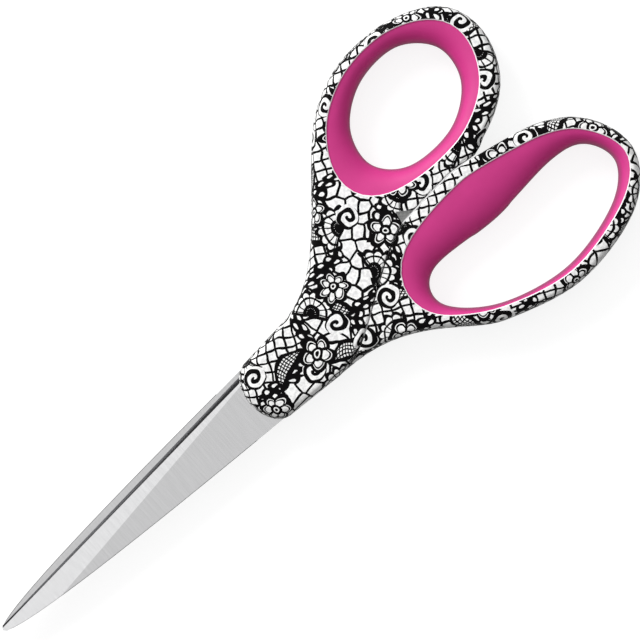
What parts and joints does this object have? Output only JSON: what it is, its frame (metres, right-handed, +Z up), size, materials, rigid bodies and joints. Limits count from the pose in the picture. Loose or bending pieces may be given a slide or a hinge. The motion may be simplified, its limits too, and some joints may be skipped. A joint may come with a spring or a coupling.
{
  "type": "household scissors",
  "caption": "Right-handed scissors with long straight-edged steel blades, offset moulded loop handles with a lace print, and soft pink grips lining the thumb and finger holes.",
  "frame": {"origin": "middle of the closed scissors' bounding box, on the surface they lie on", "axes": "+X along the scissors from the blade tips to the handles, +Y across them towards the thumb loop, +Z up out of the surface, along the pivot"},
  "size_m": [0.203, 0.0836, 0.0115],
  "materials": {
    "blade_steel": "satin ground stainless steel",
    "handle_plastic": "white satin plastic with a black lace print",
    "soft_grip": "matt pink soft-touch elastomer",
    "plated_steel": "nickel-plated steel"
  },
  "bodies": {
    "finger_half": {"finger_blade": "blade_steel", "finger_handle": "handle_plastic", "finger_grip": "soft_grip"},
    "thumb_half": {"thumb_blade": "blade_steel", "thumb_handle": "handle_plastic", "thumb_grip": "soft_grip", "pivot_nut": "plated_steel", "pivot_screw": "plated_steel", "spring_washer": "plated_steel"}
  },
  "joints": [
    {"name": "blade_pivot", "type": "hinge", "parent": "finger_half", "child": "thumb_half", "pos_m": [-0.0005, -0.00825, 0.00575], "axis": [0, 0, 1], "range_deg": [0, 75]}
  ]
}
